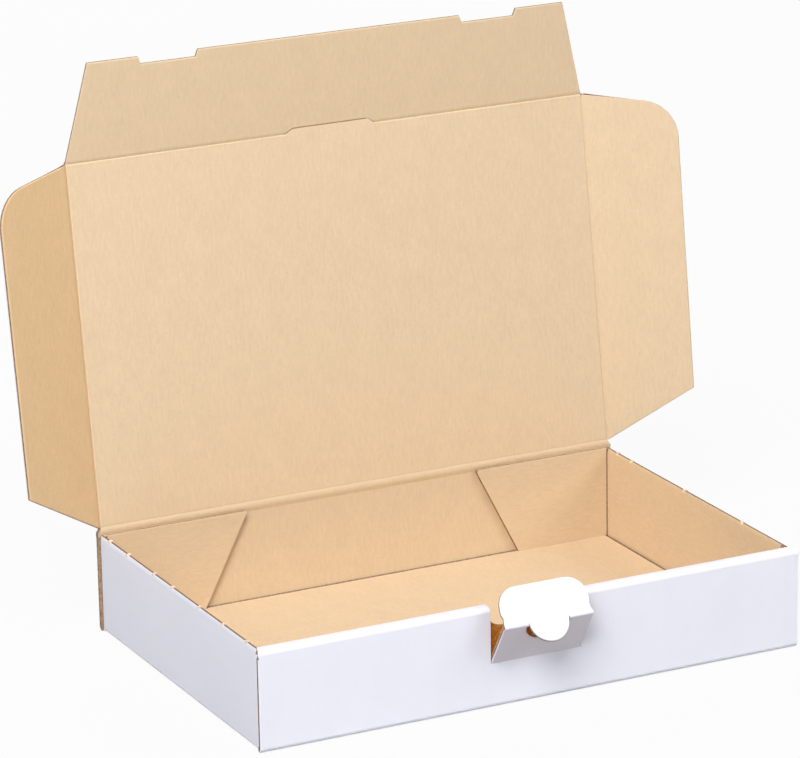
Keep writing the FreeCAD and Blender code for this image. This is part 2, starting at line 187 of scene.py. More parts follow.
class MailerColours(bpy.types.PropertyGroup):
    """Colours of the papers and of the stage."""

    white: FloatVectorProperty(
        name="White liner", description="Coated outside of the sheet",
        default=(0.89, 0.89, 0.985), size=3, subtype="COLOR")
    kraft: FloatVectorProperty(
        name="Kraft liner", description="Brown inside of the sheet",
        default=(0.725, 0.555, 0.37), size=3, subtype="COLOR")
    # Kraft of the left ear, painted darker and more orange: painted shade on the same paper as the
    # lid
    ear_shade: FloatVectorProperty(
        name="Warm kraft", description="Kraft inside of the left ear, a little more orange",
        default=(0.745, 0.52, 0.295), size=3, subtype="COLOR")
    # White of the lock tab's panel, painted greyer: painted shade, as the panel leans out and
    # faces down
    tab: FloatVectorProperty(
        name="Tab white", description="White outside of the lock tab's panel, a little duller",
        default=(0.81, 0.75, 0.82), size=3, subtype="COLOR")
    raw: FloatVectorProperty(
        name="Cut edge", description="Torn fibres along a die cut",
        default=(0.42, 0.285, 0.19), size=3, subtype="COLOR")
    # Cut edge colour darkened with painted shade, for the shadow in the flutes and gaps along the
    # tray's cut edges
    crushed_and_shaded: FloatVectorProperty(
        name="Crushed edge", description="Cut edge of the tray, crushed flat and dark",
        default=(0.32, 0.195, 0.14), size=3, subtype="COLOR")
    torn: FloatVectorProperty(
        name="Torn fibre", description="Pale fibres where a bridge of the die was torn",
        default=(0.90, 0.74, 0.58), size=3, subtype="COLOR")
    # Painted shade: kraft deep in shade behind the tab's notch, made orange as bounced light would
    # make it
    fold: FloatVectorProperty(
        name="Fold shade", description="Kraft side deep inside a fold, where it glows orange",
        default=(0.76, 0.30, 0.06), size=3, subtype="COLOR")
    # Colour of the medium, darkened with painted shade for the hollow between the liners
    deep: FloatVectorProperty(
        name="Flute inside", description="Medium seen inside the flutes",
        default=(0.34, 0.26, 0.18), size=3, subtype="COLOR")
    floor: FloatVectorProperty(
        name="Floor", description="Pale floor under the box",
        default=(0.5, 0.5, 0.5), size=3, subtype="COLOR")


class Number:
    """A value that comes out of a node and takes part in sums."""

    def __init__(self, finish, socket):
        self.finish = finish
        self.socket = socket

    def maths(self, operation, first, second):
        return self.finish.node("ShaderNodeMath", {"operation": operation}, {0: first, 1: second})

    def __add__(self, other):
        return self.maths("ADD", self, other)

    def __radd__(self, other):
        return self.maths("ADD", other, self)

    def __mul__(self, other):
        return self.maths("MULTIPLY", self, other)

    def __rmul__(self, other):
        return self.maths("MULTIPLY", other, self)


class Finish:
    """A material whose nodes are added one by one."""

    def __init__(self, name):
        self.material = bpy.data.materials.new(name)
        self.material.use_nodes = True
        self.tree = self.material.node_tree
        self.shader = self.tree.nodes["Principled BSDF"]

    def node(self, kind, settings, sockets, output=0):
        """Adds a node and gives back one of its outputs."""
        made = self.tree.nodes.new(kind)
        for name, value in settings.items():
            setattr(made, name, value)
        for name, value in sockets.items():
            self.feed(made.inputs[name], value)
        return Number(self, made.outputs[output])

    def feed(self, socket, value):
        """Links a number of another node to a socket, or sets a constant on it."""
        if isinstance(value, Number):
            self.tree.links.new(value.socket, socket)
        else:
            socket.default_value = value

    def set(self, name, value):
        """Feeds an input of the material's own shader."""
        self.feed(self.shader.inputs[name], value)

    def blank(self, across, along):
        """Place on the flat sheet in units of across and along, both in millimetres."""
        sheet = self.node("ShaderNodeUVMap", {"uv_map": "blank"}, {})
        scale = (1 / (across * MM), 1 / (along * MM), 1)
        return self.node("ShaderNodeMapping", {}, {"Vector": sheet, "Scale": scale})

    def noise(self, spot, detail=3.0, roughness=0.55):
        sockets = {"Vector": spot, "Scale": 1.0, "Detail": detail, "Roughness": roughness}
        return self.node("ShaderNodeTexNoise", {"noise_dimensions": "2D"}, sockets)

    def ramp(self, value, low, high):
        """Nothing below low, the whole above high, and even in between."""
        sockets = {"Value": value, "From Min": low, "From Max": high, "To Min": 0.0, "To Max": 1.0}
        return self.node("ShaderNodeMapRange", {"clamp": True}, sockets)

    def mix(self, share, first, second):
        """Colour between two others."""
        sockets = {"Factor": share, 6: first, 7: second}
        return self.node("ShaderNodeMix", {"data_type": "RGBA"}, sockets, 2)

    def bump(self, height, distance):
        """Raises the surface by distance millimetres where height is 1."""
        sockets = {"Height": height, "Distance": distance * MM, "Strength": 1.0}
        self.set("Normal", self.node("ShaderNodeBump", {}, sockets))


def shade(colour, factor):
    """Colour made lighter or darker by a factor."""
    return (colour[0] * factor, colour[1] * factor, colour[2] * factor, 1)


def make_white(name, colour):
    """Coated white liner, faintly clouded."""
    finish = Finish(name)
    clouds = finish.noise(finish.blank(26, 60))
    fibres = finish.noise(finish.blank(0.5, 5.0), 4.0)
    mottle = finish.ramp(clouds * 0.6 + fibres * 0.4, 0.3, 0.7)
    finish.set("Base Color", finish.mix(mottle, shade(colour, 0.965), shade(colour, 1.0)))
    finish.set("Roughness", 0.62)
    finish.set("Specular IOR Level", 0.3)
    finish.bump(fibres, 0.02)
    return finish.material


def make_kraft(name, colour):
    """Brown liner with streaks, dark specks and pale flecks."""
    finish = Finish(name)
    clouds = finish.noise(finish.blank(12, 18), 5.0, 0.6)
    streaks = finish.noise(finish.blank(1.5, 6.0), 3.0, 0.55)
    fibres = finish.noise(finish.blank(0.5, 1.5), 4.0, 0.6)
    specks = finish.ramp(finish.noise(finish.blank(1.1, 1.7), 2.0), 0.71, 0.77)
    flecks = finish.ramp(finish.noise(finish.blank(1.6, 1.2), 1.0), 0.80, 0.84)
    tone = finish.ramp(clouds * 0.25 + streaks * 0.4 + fibres * 0.35, 0.34, 0.66)
    paper = finish.mix(tone, shade(colour, 0.94), shade(colour, 1.055))
    speckled = finish.mix(specks * 0.3, paper, shade(colour, 0.55))
    finish.set("Base Color", finish.mix(flecks * 0.4, speckled, (0.9, 0.8, 0.66, 1)))
    finish.set("Roughness", 0.85)
    finish.set("Specular IOR Level", 0.2)
    finish.bump(streaks * 0.4 + fibres * 0.6, 0.03)
    return finish.material


def make_edge(name, colour):
    """Rough paper of a cut or a torn edge."""
    finish = Finish(name)
    spot = finish.node("ShaderNodeTexCoord", {}, {}, 3)
    fibres = finish.node("ShaderNodeTexNoise", {}, {"Vector": spot, "Scale": 900.0, "Detail": 3.0})
    tone = finish.ramp(fibres, 0.35, 0.65)
    finish.set("Base Color", finish.mix(tone, shade(colour, 0.75), shade(colour, 1.2)))
    finish.set("Roughness", 0.95)
    finish.set("Specular IOR Level", 0.1)
    finish.bump(fibres, 0.1)
    return finish.material


def arc(centre, radius, start, end, steps=6):
    """Points of an arc, in degrees, in the plane that it is drawn in."""
    turns = [math.radians(start + (end - start) * k / steps) for k in range(steps + 1)]
    return [(centre[0] + radius * math.cos(t), centre[1] + radius * math.sin(t)) for t in turns]


def wake(piece):
    """Makes a piece the only selected one, and the active one."""
    bpy.ops.object.select_all(action="DESELECT")
    piece.select_set(True)
    bpy.context.view_layer.objects.active = piece


def trace(name, points):
    """Draws a run of edges point by point, in millimetres; stays in edit mode."""
    bpy.ops.object.select_all(action="DESELECT")
    bpy.ops.mesh.primitive_plane_add(size=MM)
    piece = bpy.context.object
    piece.name = name
    piece.data.name = name
    piece.data.uv_layers[0].name = "blank"
    bpy.ops.object.mode_set(mode="EDIT")
    bpy.ops.mesh.select_mode(type="VERT")
    bpy.ops.mesh.select_all(action="SELECT")
    bpy.ops.mesh.merge(type="CENTER")
    stops = [Vector(point) * MM for point in points]
    bpy.ops.transform.translate(value=stops[0])
    for before, after in zip(stops, stops[1:]):
        bpy.ops.mesh.extrude_region_move(TRANSFORM_OT_translate={"value": after - before})
    bpy.ops.mesh.select_all(action="SELECT")
    return piece


def add_papers(piece):
    """Gives a piece one material slot for each paper."""
    for name in PAPERS:
        piece.data.materials.append(bpy.data.materials[name])


def slab(name, points, sweep):
    """Closed solid between an outline and its copy moved by sweep, all faces raw."""
    piece = trace(name, points)
    bpy.ops.mesh.edge_face_add()
    bpy.ops.mesh.extrude_region_move(TRANSFORM_OT_translate={"value": Vector(sweep) * MM})
    bpy.ops.mesh.select_all(action="SELECT")
    bpy.ops.mesh.normals_make_consistent(inside=False)
    bpy.ops.object.mode_set(mode="OBJECT")
    add_papers(piece)
    for face in piece.data.polygons:
        face.material_index = RAW
    return piece


def paint(piece, index, test):
    """Gives a paper to the raw faces that pass a test of middle, in millimetres, and normal."""
    for face in piece.data.polygons:
        if face.material_index == RAW and test(face.center / MM, face.normal):
            face.material_index = index


def flat_board(name, outline):
    """Panel in the plane of the sheet: white below, kraft above."""
    half = board() / 2
    piece = slab(name, [(x, y, -half) for x, y in outline], (0, 0, 2 * half))
    paint(piece, KRAFT, lambda middle, normal: normal.z > 0.9)
    paint(piece, WHITE, lambda middle, normal: normal.z < -0.9)
    return piece


def board():
    """Caliper of the board, in millimetres."""
    return bpy.context.scene.mailer_sizes.board / MM


def cut(piece, cutter):
    """Takes a cutter away from a piece and throws it away."""
    tool = piece.modifiers.new("cut", "BOOLEAN")
    tool.operation = "DIFFERENCE"
    tool.solver = "EXACT"
    tool.object = cutter
    wake(piece)
    bpy.ops.object.modifier_apply(modifier="cut")
    bpy.data.objects.remove(cutter)


def block(low, high):
    """Cutter between two corners, in millimetres."""
    x0, y0, z0 = low
    x1, y1, z1 = high
    outline = [(x0, y0, z0), (x1, y0, z0), (x1, y1, z0), (x0, y1, z0)]
    return slab("cutter", outline, (0, 0, z1 - z0))


def side_block(side, reach, depth, height):
    """Cutter on one side of the box, each of its three sizes from one place to another."""
    x0, x1 = sorted(side * x for x in reach)
    return block((x0, depth[0], height[0]), (x1, depth[1], height[1]))


def grain(piece, fibre):
    """Lays the flat sheet's map on each face, with the fibres along fibre."""
    fibre = Vector(fibre)
    sheet = piece.data.uv_layers["blank"].data
    for face in piece.data.polygons:
        along = fibre - face.normal * fibre.dot(face.normal)
        if along.length < 0.3:
            along = face.normal.orthogonal()
        along.normalize()
        across = along.cross(face.normal)
        for loop in face.loop_indices:
            corner = piece.data.vertices[piece.data.loops[loop].vertex_index].co
            sheet[loop].uv = (corner.dot(across) + 0.5, corner.dot(along) + 0.5)


def place(piece, matrix):
    """Moves a piece for good, so that it keeps no turn or move of its own."""
    wake(piece)
    piece.matrix_world = matrix
    bpy.ops.object.transform_apply(location=True, rotation=True, scale=True)


def turned(at, angle, axis):
    """Turn by degrees about an axis through the origin, then a move to at, in metres."""
    return Matrix.Translation(at) @ Matrix.Rotation(math.radians(angle), 4, axis)


def change_paper(piece, old, new):
    """Papers every face of one paper with another."""
    for face in piece.data.polygons:
        if face.material_index == old:
            face.material_index = new


def finish_piece(piece, body):
    """Merges double corners, smooths what is round and lets the piece ride on its body."""
    wake(piece)
    bpy.ops.object.mode_set(mode="EDIT")
    bpy.ops.mesh.select_all(action="SELECT")
    bpy.ops.mesh.remove_doubles(threshold=MERGE)
    bpy.ops.object.mode_set(mode="OBJECT")
    bpy.ops.object.shade_smooth_by_angle(angle=math.radians(SMOOTH))
    piece.modifiers.new("even", "WEIGHTED_NORMAL").keep_sharp = True
    bpy.ops.object.modifier_apply(modifier="even")
    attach(piece, body)


def edit(piece, kind, test):
    """Opens a piece in edit mode with the parts of one kind selected that pass the test."""
    wake(piece)
    bpy.ops.object.mode_set(mode="EDIT")
    bpy.ops.mesh.select_mode(type=kind)
    bpy.ops.mesh.select_all(action="DESELECT")
    bpy.ops.object.mode_set(mode="OBJECT")
    mesh = piece.data
    parts = {"VERT": mesh.vertices, "EDGE": mesh.edges, "FACE": mesh.polygons}[kind]
    for part in parts:
        part.select = test(part)
    bpy.ops.object.mode_set(mode="EDIT")


def ends_of(piece, edge):
    """Both ends of an edge, in millimetres."""
    return [piece.data.vertices[k].co / MM for k in edge.vertices]


def length_of(piece, edge):
    """Length of an edge, in millimetres."""
    start, end = ends_of(piece, edge)
    return (end - start).length


def wrap_liners(piece):
    """Lets each liner run on over the pressed faces next to it, which are the selected ones."""
    faces = piece.data.polygons
    for _ in range(2):
        owner = {}
        for face in faces:
            if face.material_index in (WHITE, KRAFT):
                for key in face.edge_keys:
                    owner[key] = face
        for face in faces:
            if face.select and face.material_index == RAW:
                for key in face.edge_keys:
                    beside = owner.get(key)
                    if beside and beside.normal.dot(face.normal) > 0.6:
                        face.material_index = beside.material_index


def press_edges(piece, press, test, shortest=0.0):
    """Presses both liners in by press millimetres along the cut edges that pass the test.

    Edges shorter than shortest stay sharp.
    """
    mesh = piece.data
    sides = {}
    for face in mesh.polygons:
        for key in face.edge_keys:
            sides.setdefault(key, []).append(face)
    rims = {
        key for key, faces in sides.items()
        if any(is_cut(face, test) for face in faces)
        and any(face.material_index in (WHITE, KRAFT) for face in faces)
    }
    edit(piece, "EDGE", lambda edge: edge.key in rims and length_of(piece, edge) > shortest)
    bpy.ops.mesh.bevel(
        offset=press * MM, segments=2, affect="EDGES", clamp_overlap=not shortest)
    bpy.ops.mesh.select_mode(type="FACE")
    bpy.ops.object.mode_set(mode="OBJECT")
    for face in piece.data.polygons:
        if face.select:
            face.material_index = RAW
    wrap_liners(piece)


def is_cut(face, test):
    """Whether a face is raw and passes a test of its middle, in millimetres, and normal."""
    return face.material_index == RAW and test(face.center / MM, face.normal)


def hollow_edges(piece, press, test, shortest=0.0):
    """Presses the cut edges that pass the test and sinks what is left between the liners."""
    sizes = bpy.context.scene.mailer_sizes
    press_edges(piece, press, test, shortest)
    edit(piece, "FACE", lambda face: is_cut(face, test))
    bpy.ops.mesh.inset(thickness=sizes.liner, depth=0)
    bpy.ops.mesh.extrude_region_shrink_fatten(TRANSFORM_OT_shrink_fatten={"value": -sizes.depth})
    bpy.ops.object.mode_set(mode="OBJECT")
    # The sunk faces get the medium's colour darkened with painted shade
    for face in piece.data.polygons:
        if face.select:
            face.material_index = FLUTE_SHADE


def flutes(piece, press, path, lift, fibre, inside):
    """Adds the wave of the fluted paper along a cut edge, between the two liners."""
    sizes = bpy.context.scene.mailer_sizes
    lift = Vector(lift)
    fibre = Vector(fibre)
    crest = board() / 2 - press - 2 * FLUTE_PAPER * sizes.liner / MM
    for start, end in zip(path, path[1:]):
        start = Vector(start)
        run = Vector(end) - start
        inward = run.cross(lift).normalized()
        if inward.dot(Vector(inside) - start) < 0:
            inward = -inward
        count = max(2, round(run.length / FLUTE_STEP))
        points = []
        for k in range(count + 1):
            spot = start + run * k / count + inward * 0.06
            swing = math.sin(math.tau * spot.dot(fibre) * MM / sizes.pitch)
            points.append(spot + lift * crest * swing)
        wave = trace("flutes", points)
        bpy.ops.mesh.extrude_region_move(TRANSFORM_OT_translate={"value": inward * sizes.depth})
        bpy.ops.object.mode_set(mode="OBJECT")
        add_papers(wave)
        wall = wave.modifiers.new("paper", "SOLIDIFY")
        wall.thickness = FLUTE_PAPER * sizes.liner
        wall.offset = 0
        wake(wave)
        bpy.ops.object.modifier_apply(modifier="paper")
        for face in wave.data.polygons:
            face.material_index = RAW
        wake(piece)
        wave.select_set(True)
        bpy.ops.object.join()


def score(piece, axis, levels, clear=-1.0):
    """Presses or raises the kraft side of a flat board along straight lines, in millimetres.

    Nothing moves within clear of the middle.
    """
    normal = Vector((axis == "X", axis == "Y", 0))
    for at, _ in levels:
        edit(piece, "FACE", lambda face: True)
        bpy.ops.mesh.bisect(plane_co=normal * at * MM, plane_no=normal, threshold=MERGE)
        bpy.ops.object.mode_set(mode="OBJECT")
    half = board() / 2
    for at, lift in levels:
        edit(piece, "VERT", lambda vert: abs(vert.co.dot(normal) / MM - at) < SAME
             and vert.co.z / MM > half - SAME and abs(vert.co.x) / MM > clear)
        bpy.ops.transform.translate(value=(0, 0, lift * MM))
        bpy.ops.object.mode_set(mode="OBJECT")


class MAILER_OT_papers(bpy.types.Operator):
    """Make the finishes of the two liners and of the cut edges"""

    bl_idname = "mailer.papers"
    bl_label = "Papers"

    def execute(self, context):
        colours = context.scene.mailer_colours
        make_white("white_liner", colours.white)
        make_white("tab_white_painted_shade", colours.tab)
        make_kraft("kraft_liner", colours.kraft)
        make_kraft("ear_kraft_painted_shade", colours.ear_shade)
        make_edge("cut_edge", colours.raw)
        make_edge("flute_inside_painted_shade", colours.deep)
        make_edge("torn_fibre", colours.torn)
        make_edge("crushed_edge_painted_shade", colours.crushed_and_shaded)
        make_edge("kraft_shade", colours.fold)
        return {"FINISHED"}


def sheet_section():
    """Section of floor, back wall, front wall and its lining, white side first."""
    back_top = HINGE.z - board() / 2 - 0.3
    white = [(BACK, back_top)]
    white += arc((BACK - FOLD, FOLD), FOLD, 0, -90)
    white += arc((FRONT + FOLD, FOLD), FOLD, -90, -180)
    white += arc((FRONT + FOLD, FRONT_TOP - FOLD), FOLD, 180, 90)
    white += arc((LINING_BACK - FOLD, FRONT_TOP - FOLD), FOLD, 90, 0)
    white += [(LINING_BACK, 3.0)]
    kraft = [(LINING_FRONT, 3.0)]
    kraft += arc((LINING_FRONT - INNER_ROLL, ROLL_FOOT - INNER_ROLL), INNER_ROLL, 0, 90, 3)
    kraft += arc((FRONT + 3.2, ROLL_FOOT - INNER_ROLL), INNER_ROLL, 90, 180, 3)
    kraft += arc((FRONT + 3.1, 3.1), INNER_FOLD, 180, 270, 3)
    kraft += arc((BACK - 3.1, 3.1), INNER_FOLD, 270, 360, 3)
    kraft += [(BACK - board(), back_top)]
    return white, kraft


def paint_section(piece, white, kraft):
    """Gives both liners to a swept section, each face by the run of the outline nearest to it."""
    runs = []
    for points, index in ((white, WHITE), (kraft, KRAFT)):
        for (y0, z0), (y1, z1) in zip(points, points[1:]):
            runs.append((Vector((y0 + y1, z0 + z1)) / 2, index))
    runs.append(((Vector(white[-1]) + Vector(kraft[0])) / 2, RAW))
    runs.append(((Vector(white[0]) + Vector(kraft[-1])) / 2, RAW))
    for face in piece.data.polygons:
        if abs(face.normal.x) < 0.5:
            middle = Vector(face.center.yz) / MM
            face.material_index = min(runs, key=lambda run: (run[0] - middle).length)[1]


class MAILER_OT_long_walls(bpy.types.Operator):
    """Fold floor, back wall and the rolled front wall"""

    bl_idname = "mailer.long_walls"
    bl_label = "Floor and long walls"

    def execute(self, context):
        white, kraft = sheet_section()
        outline = [(-HALF_WIDTH, y, z) for y, z in white + kraft]
        sheet = slab("tray_sheet", outline, (2 * HALF_WIDTH, 0, 0))
        paint_section(sheet, white, kraft)
        self.cut_sheet(sheet)
        paint(sheet, WHITE, lambda middle, normal: normal.z > 0.9 and abs(middle.x) < NOTCH_HALF
              and middle.z < 30)
        for face in sheet.data.polygons:
            # The lining's front face, seen through the tab's notch, gets painted shade
            if face.normal.y < -0.9 and abs(face.center.y / MM - LINING_FRONT) < CLOSE:
                face.material_index = SHADE
        self.open_edges(sheet)
        # Both ends of the front wall get the cut edge colour darkened with painted shade
        paint(sheet, EDGE_SHADE, lambda middle, normal: abs(middle.x) > 154 and middle.y < 0)
        grain(sheet, (0, 0.7, 0.7))
        for side, word in ((-1, "left"), (1, "right")):
            x0, x1 = sorted(side * x for x in FOOT_TAB)
            base = [(x0, LINING_FRONT, 0.4), (x1, LINING_FRONT, 0.4),
                    (x1, LINING_BACK, 0.4), (x0, LINING_BACK, 0.4)]
            foot = slab(f"foot_tab_{word}", base, (0, 0, 3))
            paint(foot, WHITE, lambda middle, normal: normal.y > 0.9)
            paint(foot, KRAFT, lambda middle, normal: normal.y < -0.9)
            grain(foot, (0, 0, 1))
            finish_piece(foot, "tray")
        finish_piece(sheet, "tray")
        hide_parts("tray")
        return {"FINISHED"}

    def cut_sheet(self, sheet):
        """Cuts room for the side walls, the open creases, the floor slots and the tab's notch."""
        front = FRONT + board()
        back = BACK - board()
        for side in (-1, 1):
            cut(sheet, side_block(side, (WALL_IN, FAR), (front, back), (BELOW, 3.2)))
            cut(sheet, side_block(side, SIDE_GROOVE, (front + 3, back), (1.5, 3.2)))
            lining = side_block(
                side, (LINING_HALF, FAR), (front, LINING_BACK + 0.2), (3.1, ROLL_FOOT))
            cut(sheet, lining)
            cut(sheet, side_block(side, (152.4, FAR), (98, back + 0.2), (BELOW, ABOVE)))
            taper = [(side * 155, FRONT, 50), (side * FAR, FRONT, 50), (side * FAR, -93, 50),
                     (side * 151.8, LINING_BACK, 50), (side * 151.8, -93, 50)]
            cut(sheet, slab("cutter", taper, (0, 0, 6)))
            slot = side_block(
                side, FOOT_SLOT, (LINING_FRONT - 0.3, LINING_BACK + 0.3), (BELOW, 2.9))
            cut(sheet, slot)
        cut(sheet, block((-BACK_GROOVE_HALF, back - 1.5, 1.7), (BACK_GROOVE_HALF, back, 2.95)))
        cut(sheet, block((-NOTCH_HALF, -110, NOTCH_FOOT), (NOTCH_HALF, LINING_FRONT, ABOVE)))
        corner = arc((14.5, 51.7), 11, 0, -90) + arc((-14.5, 51.7), 11, -90, -180)
        outline = [(25.5, ABOVE)] + corner + [(-25.5, ABOVE)]
        thumb = [(x, LINING_FRONT - 1, z) for x, z in outline]
        cut(sheet, slab("cutter", thumb, (0, 5, 0)))

    def open_edges(self, sheet):
        """Shows the flutes at both ends of the front and back walls and in the tab's notch."""
        outer = HALF_WIDTH - CLOSE
        hollow_edges(sheet, SOFT_PRESS, lambda middle, normal: abs(normal.x) > 0.99
                     and abs(middle.x) > outer and middle.y > 0)
        hollow_edges(sheet, HARD_PRESS, lambda middle, normal: abs(normal.x) > 0.99
                     and abs(middle.x) > outer and middle.y < 0)
        hollow_edges(sheet, TAB_PRESS, lambda middle, normal: abs(normal.x) > 0.99
                     and abs(abs(middle.x) - NOTCH_HALF) < CLOSE)
        for side in (-1, 1):
            end = side * HALF_WIDTH
            back = [(end, BACK - HALF_BOARD, 3.0), (end, BACK - HALF_BOARD, 54)]
            flutes(sheet, SOFT_PRESS, back, (0, 1, 0), (0, 0, 1), (0, BACK, 20))
            front = [(end, FRONT + HALF_BOARD, 3.0), (end, FRONT + HALF_BOARD, ROLL_FOOT)]
            flutes(sheet, HARD_PRESS, front, (0, 1, 0), (0, 0, 1), (0, FRONT, 20))
            end = side * NOTCH_HALF
            notch = [(end, FRONT + HALF_BOARD, 24.3), (end, FRONT + HALF_BOARD, 51)]
            flutes(sheet, TAB_PRESS, notch, (0, 1, 0), (0, 0, 1), (side * 80, FRONT, 20))


def add_tears(wall, side, places):
    """Ragged lumps of torn paper across the wall's top, each a little different."""
    chance = random.Random(7 + side)
    for y in places:
        length = chance.uniform(0.9, 1.9)
        points = []
        for dx, dy in TEAR:
            x = side * (WALL_MIDDLE + dx * chance.uniform(0.85, 1.05))
            points.append((x, y + dy * length * chance.uniform(0.6, 1.0), SIDE_TOP - 1.0))
        tear = slab("tear", points, (0, 0, 1.0 + chance.uniform(0.15, 0.5)))
        for face in tear.data.polygons:
            face.material_index = TORN
        wake(wall)
        tear.select_set(True)
        bpy.ops.object.join()


class MAILER_OT_side_walls(bpy.types.Operator):
    """Fold both side walls with their front and back flaps"""

    bl_idname = "mailer.side_walls"
    bl_label = "Side walls"

    def execute(self, context):
        for side, word in ((1, "right"), (-1, "left")):
            wall = self.fold_wall(side, word)
            self.cut_wall(wall, side)
            self.thin_top(wall, side)
            # The wall's top edge gets the cut edge colour darkened with painted shade
            paint(wall, EDGE_SHADE, lambda middle, normal: abs(middle.x) > 151.8
                  and middle.z > SIDE_TOP - 1)
            add_tears(wall, side, RIGHT_TEARS if side > 0 else LEFT_TEARS)
            grain(wall, (0.5, 1, 0))
            finish_piece(wall, "tray")
        return {"FINISHED"}

    def fold_wall(self, side, word):
        """Wall and flaps as one strip that stands on the floor, with both liners."""
        back = FLAP_BACK - board()
        front = FLAP_FRONT + board()
        white = [(FRONT_FLAP_END, FLAP_FRONT)]
        white += arc((WALL_OUT - FOLD, FLAP_FRONT + FOLD), FOLD, -90, 0)
        white += arc((WALL_OUT - SHARP_FOLD, FLAP_BACK - SHARP_FOLD), SHARP_FOLD, 0, 90)
        white += [(BACK_FLAP_END, FLAP_BACK)]
        kraft = [(BACK_FLAP_END, back)]
        kraft += [(WALL_IN - 0.6, back), (WALL_IN + 0.3, back + 0.3), (WALL_IN, back - 0.6)]
        kraft += [(WALL_IN, front + 0.6), (WALL_IN + 0.3, front - 0.3), (WALL_IN - 0.6, front)]
        kraft += [(FRONT_FLAP_END, front)]
        outline = [(side * x, y, 0) for x, y in white + kraft]
        wall = slab(f"{word}_side_wall", outline, (0, 0, FLAP_TOP))
        paint(wall, WHITE, lambda middle, normal: normal.z < -0.9)
        paint(wall, WHITE, lambda middle, normal: abs(normal.z) < 0.1 and (
            side * normal.x > 0.1 and abs(middle.x) > 151.4
            or abs(middle.y) > 98.9 and abs(normal.y) > 0.5))
        paint(wall, KRAFT, lambda middle, normal: abs(normal.z) < 0.1 and not (
            abs(abs(middle.x) - FRONT_FLAP_END) < CLOSE
            or abs(abs(middle.x) - BACK_FLAP_END) < CLOSE
            or min(abs(normal.x), abs(normal.y)) > 0.2))
        edit(wall, "EDGE", lambda edge: all(
            p.z < CLOSE and abs(p.x) > WALL_OUT - CLOSE for p in ends_of(wall, edge)))
        bpy.ops.mesh.bevel(offset=2.4 * MM, segments=5, affect="EDGES")
        bpy.ops.object.mode_set(mode="OBJECT")
        return wall

    def cut_wall(self, wall, side):
        """Cuts the strip to the heights of its wall and flaps, and the flaps to their forms."""
        inside = (60, WALL_IN)
        outside = (60, FAR)
        cut(wall, side_block(side, inside, (-101, 101), (BELOW, FLOOR_TOP)))
        cut(wall, side_block(side, outside, (-101, FLAP_FRONT + 2.4), (FRONT_FLAP_TOP, ABOVE)))
        cut(wall, side_block(side, inside, (-101, -90), (FRONT_FLAP_TOP, ABOVE)))
        cut(wall, side_block(side, (148.6, FAR), (-101, 95.9), (SIDE_TOP, ABOVE)))
        cut(wall, side_block(side, (151.7, FAR), (95, 101), (SIDE_TOP, ABOVE)))
        for z0, z1 in ((51.2, 45.2), (3.2, 9.2)):
            corner = [(side * 81, -101, z0), (side * 88, -101, z0), (side * 82, -101, z1),
                      (side * 81, -101, z1)]
            cut(wall, slab("cutter", corner, (0, 6, 0)))
        slant = [(side * 69, 95, 54), (side * 69.4, 95, 53.4), (side * 95.2, 95, 2.8),
                 (side * 95.2, 95, 1), (side * 69, 95, 1)]
        cut(wall, slab("cutter", slant, (0, 6, 0)))
        paint(wall, KRAFT, lambda middle, normal: abs(normal.z) < 0.1
              and middle.z > SIDE_TOP and middle.y > 90)

    def thin_top(self, wall, side):
        """Tapers the wall's top, presses the flap's edges and shows the flutes in the top."""
        edit(wall, "FACE", lambda face: True)
        bpy.ops.mesh.bisect(
            plane_co=(0, 0, TAPER_FOOT * MM), plane_no=(0, 0, 1), threshold=MERGE)
        bpy.ops.object.mode_set(mode="OBJECT")
        edit(wall, "VERT", lambda vert: abs(vert.co.z / MM - SIDE_TOP) < SAME
             and abs(vert.co.x) / MM > 151.2)
        bpy.ops.transform.resize(
            value=(TAPER, 1, 1), center_override=(side * WALL_MIDDLE * MM, 0, 0))
        bpy.ops.object.mode_set(mode="OBJECT")
        press_edges(wall, 1.0, lambda middle, normal: side * normal.x < -0.5 and middle.y > 90)
        press_edges(wall, 1.1, lambda middle, normal: normal.z > 0.9
                    and abs(middle.z - FLAP_TOP) < 0.05, shortest=20.0)
        hollow_edges(wall, 0.1, lambda middle, normal: normal.z > 0.9
                     and abs(middle.z - SIDE_TOP) < 0.05, shortest=20.0)
        line = side * WALL_MIDDLE
        top = [(line, -92.9, SIDE_TOP), (line, 96.2, SIDE_TOP)]
        flutes(wall, 0.9, top, (1, 0, 0), (0, 1, 0), (line, 0, 0))


def stand_lid(piece):
    """Leans a flat piece of the lid back about the lid's crease."""
    place(piece, turned(HINGE * MM, LID_LEAN, "X"))


